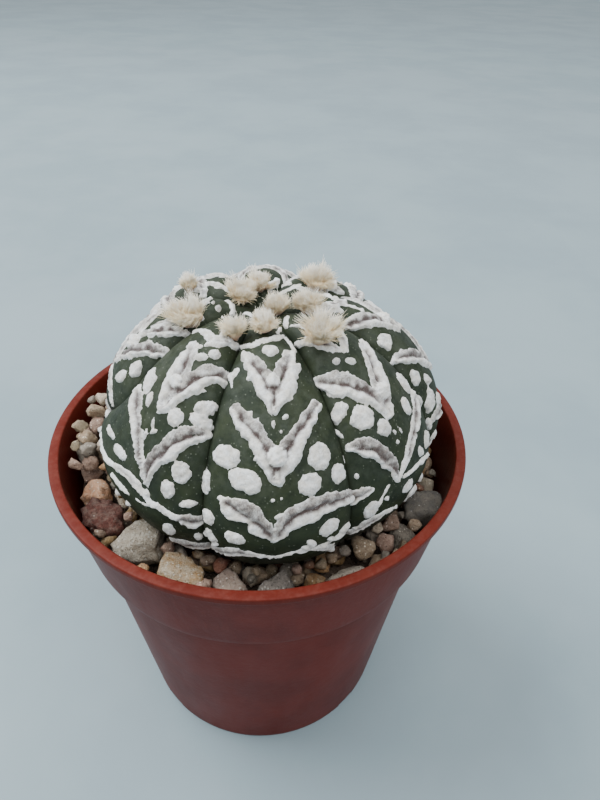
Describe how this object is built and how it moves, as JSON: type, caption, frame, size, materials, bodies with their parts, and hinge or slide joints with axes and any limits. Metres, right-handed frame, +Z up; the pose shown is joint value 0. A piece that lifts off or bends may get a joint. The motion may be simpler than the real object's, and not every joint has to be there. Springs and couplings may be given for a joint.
{
  "type": "potted star cactus",
  "caption": "Low ribbed star cactus with white felted chevrons and wool tufts, in a round plastic nursery pot top-dressed with mixed gravel.",
  "frame": {"origin": "centre of the pot's foot, on the surface the pot stands on", "axes": "+Z up the pot's axis, -Y towards the side seen from the front, +X to the right"},
  "size_m": [0.085, 0.085, 0.1063],
  "materials": {
    "pot_plastic": "satin moulded red-brown plastic",
    "gravel": "rough mixed grit",
    "cactus_skin": "matte dark grey-green skin with white felted markings",
    "wool": "fluffy cream wool",
    "pebble": "rough beige granite",
    "pebble_grey": "rough grey-brown granite",
    "pebble_pink": "rough beige-pink granite",
    "pebble_tan": "rough tan and ochre stone",
    "pebble_speckled": "rough speckled granite",
    "pebble_scoria": "porous dark red scoria",
    "pebble_orange": "rough orange-pink stone",
    "pebble_dark": "rough dark grey stone",
    "pebble_cream": "chalky pale cream stone",
    "pebble_ochre": "smooth ochre-brown stone"
  },
  "bodies": {
    "root": {"pot": "pot_plastic", "gravel_bed": "gravel", "cactus_body": "cactus_skin", "wool_front": "wool", "wool_left_front": "wool", "wool_right_front": "wool", "wool_right": "wool", "wool_right_back": "wool", "wool_back": "wool", "wool_left_back": "wool", "wool_left": "wool", "wool_crown_right": "wool", "wool_crown_left": "wool", "stone_grey": "pebble_grey", "stone_pink": "pebble_pink", "stone_tan": "pebble_tan", "stone_speckled": "pebble_speckled", "stone_scoria": "pebble_scoria", "stone_orange": "pebble_orange", "stone_dark": "pebble_dark", "stone_cream": "pebble_cream", "stone_ochre": "pebble_ochre", "stone_01": "pebble", "stone_02": "pebble", "stone_03": "pebble", "stone_04": "pebble", "stone_05": "pebble", "stone_06": "pebble", "stone_07": "pebble", "stone_08": "pebble", "stone_09": "pebble", "stone_10": "pebble", "stone_11": "pebble", "stone_12": "pebble", "stone_13": "pebble", "stone_14": "pebble", "stone_15": "pebble", "stone_16": "pebble", "stone_17": "pebble", "stone_18": "pebble", "stone_19": "pebble", "stone_20": "pebble"}
  },
  "joints": []
}
